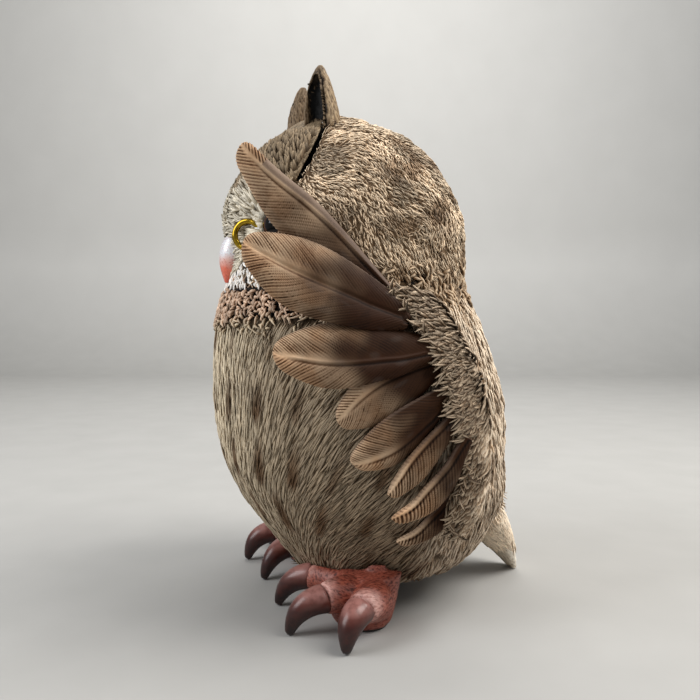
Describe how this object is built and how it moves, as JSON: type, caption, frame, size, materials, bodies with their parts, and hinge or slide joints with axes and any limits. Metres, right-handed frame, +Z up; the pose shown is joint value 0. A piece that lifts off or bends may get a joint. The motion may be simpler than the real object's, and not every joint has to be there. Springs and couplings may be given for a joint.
{
  "type": "owl figurine",
  "caption": "Standing owl figurine of cast resin with its left wing raised to small wire spectacles, glass eyes, ear tufts and clawed feet.",
  "frame": {"origin": "middle of the model's footprint box, on the ground that the feet stand on", "axes": "+Z up, -Y the way the owl faces, +X the owl's left side, where the wing is raised"},
  "size_m": [0.14, 0.1396, 0.2176],
  "materials": {
    "belly_and_back": "cast resin, hand painted, matte, combed plumage grooves in cream and grey-brown",
    "head_plumage": "cast resin, hand painted, matte, fine fur-like plumage in tan and cream",
    "face_plumage": "cast resin, hand painted, matte, radiating pale grey-cream plumage",
    "ear_tufts": "cast resin, hand painted, matte, dark brown with pale edges",
    "wing_coverts": "cast resin, hand painted, matte, short curly scales",
    "flight_feathers": "cast resin, hand painted, satin, barbed feathers in warm brown",
    "tail_plumage": "cast resin, hand painted, matte",
    "beak_gloss": "cast resin, glossy varnish, orange-red",
    "foot_skin": "cast resin, hand painted, satin, reddish-brown stippled skin",
    "claw_gloss": "cast resin, glossy dark red-brown",
    "eye_glass": "solid dark glass with an amber iris painted behind",
    "gold_wire": "polished gold-coloured wire",
    "dowel_steel": "plain steel rod",
    "felt": "thin self-adhesive felt",
    "plug_rubber": "soft black plug"
  },
  "bodies": {
    "root": {"beak": "beak_gloss", "body_shell": "belly_and_back", "ear_tuft_left": "ear_tufts", "ear_tuft_right": "ear_tufts", "face_mask": "face_plumage", "glass_eye_left": "eye_glass", "glass_eye_right": "eye_glass", "head_shell": "head_plumage", "left_claw_inner": "claw_gloss", "left_claw_middle": "claw_gloss", "left_claw_outer": "claw_gloss", "left_foot": "foot_skin", "left_foot_pad": "felt", "left_wing_arm": "wing_coverts", "left_wing_feather_1": "flight_feathers", "left_wing_feather_2": "flight_feathers", "left_wing_feather_3": "flight_feathers", "left_wing_feather_4": "flight_feathers", "left_wing_feather_5": "flight_feathers", "left_wing_feather_6": "flight_feathers", "left_wing_feather_7": "flight_feathers", "left_wing_feather_8": "flight_feathers", "leg_dowel_left": "dowel_steel", "leg_dowel_right": "dowel_steel", "pour_hole_plug": "plug_rubber", "right_claw_inner": "claw_gloss", "right_claw_middle": "claw_gloss", "right_claw_outer": "claw_gloss", "right_foot": "foot_skin", "right_foot_pad": "felt", "right_wing_coverts": "wing_coverts", "right_wing_feather_1": "flight_feathers", "right_wing_feather_2": "flight_feathers", "right_wing_feather_3": "flight_feathers", "right_wing_feather_4": "flight_feathers", "right_wing_feather_5": "flight_feathers", "spectacle_bridge": "gold_wire", "spectacle_rim_left": "gold_wire", "spectacle_rim_right": "gold_wire", "tail": "tail_plumage", "tail_dowel": "dowel_steel", "wing_dowel_left": "dowel_steel", "wing_dowel_right": "dowel_steel"}
  },
  "joints": []
}
